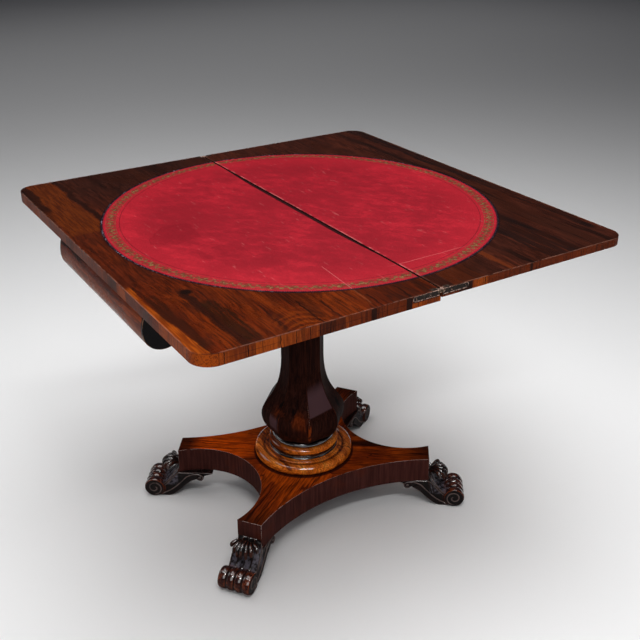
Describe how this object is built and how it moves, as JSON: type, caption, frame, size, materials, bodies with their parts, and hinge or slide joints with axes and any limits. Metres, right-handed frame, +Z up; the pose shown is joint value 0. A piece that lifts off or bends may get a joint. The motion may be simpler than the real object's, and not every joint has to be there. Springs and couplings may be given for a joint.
{
  "type": "fold-over card table",
  "caption": "Fold-over card table: square top in hinged leaves with an inset leather circle, turning on a rolled-end frieze over an octagonal column, platform and scroll feet.",
  "frame": {"origin": "on the floor, under the axis of the column", "axes": "+Z up; +Y along the fold line, towards the back, where the fold lies once the table is closed; +X along the frieze, towards the flap of the open top"},
  "size_m": [0.8988, 0.914, 0.71],
  "materials": {
    "rosewood_top": "French polished",
    "rosewood_edge": "cross-banded, French polished",
    "rosewood_base": "French polished",
    "rosewood_dark": "French polished",
    "rosewood_turned": "French polished",
    "ebonised": "black polish",
    "carved_dark": "dark polish, rubbed on the high places",
    "stringing": "polished",
    "leather": "tooled and waxed",
    "carcase": "unpolished mahogany",
    "pale_wood": "bare wood",
    "baize": "napped",
    "hinge_brass": "aged",
    "iron": "blackened"
  },
  "bodies": {
    "base": {"platform": "rosewood_base", "foot_front": "carved_dark", "foot_right": "carved_dark", "foot_back": "carved_dark", "foot_left": "carved_dark", "foot_screws": "iron", "foot_dowels": "pale_wood", "collar_lower_ring": "rosewood_turned", "collar_hollow": "ebonised", "collar_upper_ring": "rosewood_turned", "column_foot_ring": "ebonised", "column": "rosewood_dark", "column_wedge": "pale_wood", "column_capping": "rosewood_dark", "capping_screws": "iron", "bearer": "carcase", "front_rail": "rosewood_dark", "back_rail": "rosewood_dark", "end_roll_left": "rosewood_dark", "end_roll_right": "rosewood_dark", "roll_cap_front_left": "ebonised", "roll_cap_front_right": "ebonised", "roll_cap_back_left": "ebonised", "roll_cap_back_right": "ebonised", "pivot_rail": "carcase", "well_partition": "carcase", "well_floor": "carcase", "well_baize": "baize", "glue_blocks": "carcase"},
    "top": {"fixed_leaf_core": "carcase", "fixed_leaf_lipping": "rosewood_edge", "fixed_leaf_veneer": "rosewood_top", "fixed_leaf_stringing": "stringing", "fixed_leaf_leather": "leather", "pivot_plate": "iron", "pivot_plate_screws": "iron", "pivot_bolt": "iron", "pivot_washer": "iron", "pivot_nut": "iron", "stop_peg": "pale_wood", "fixed_hinge_plate_front": "hinge_brass", "fixed_hinge_plate_back": "hinge_brass", "fixed_hinge_screws": "hinge_brass", "fixed_hinge_pins": "hinge_brass"},
    "hinge_links": {"hinge_link_front": "hinge_brass", "hinge_link_back": "hinge_brass"},
    "flap": {"flap_core": "carcase", "flap_lipping": "rosewood_edge", "flap_veneer": "rosewood_top", "flap_stringing": "stringing", "flap_leather": "leather", "flap_hinge_plate_front": "hinge_brass", "flap_hinge_plate_back": "hinge_brass", "flap_hinge_screws": "hinge_brass", "flap_hinge_pins": "hinge_brass"}
  },
  "joints": [
    {"name": "top_swivel", "type": "hinge", "parent": "base", "child": "top", "pos_m": [-0.1127, 0.1127, 0.6877], "axis": [0, 0, 1], "range_deg": [0, 90]},
    {"name": "link_fold", "type": "hinge", "parent": "top", "child": "hinge_links", "pos_m": [-0.004, 0, 0.7062], "axis": [0, -1, 0], "range_deg": [0, 90]},
    {"name": "flap_fold", "type": "hinge", "parent": "hinge_links", "child": "flap", "pos_m": [0.004, 0, 0.7062], "axis": [0, -1, 0], "range_deg": [0, 90]}
  ]
}
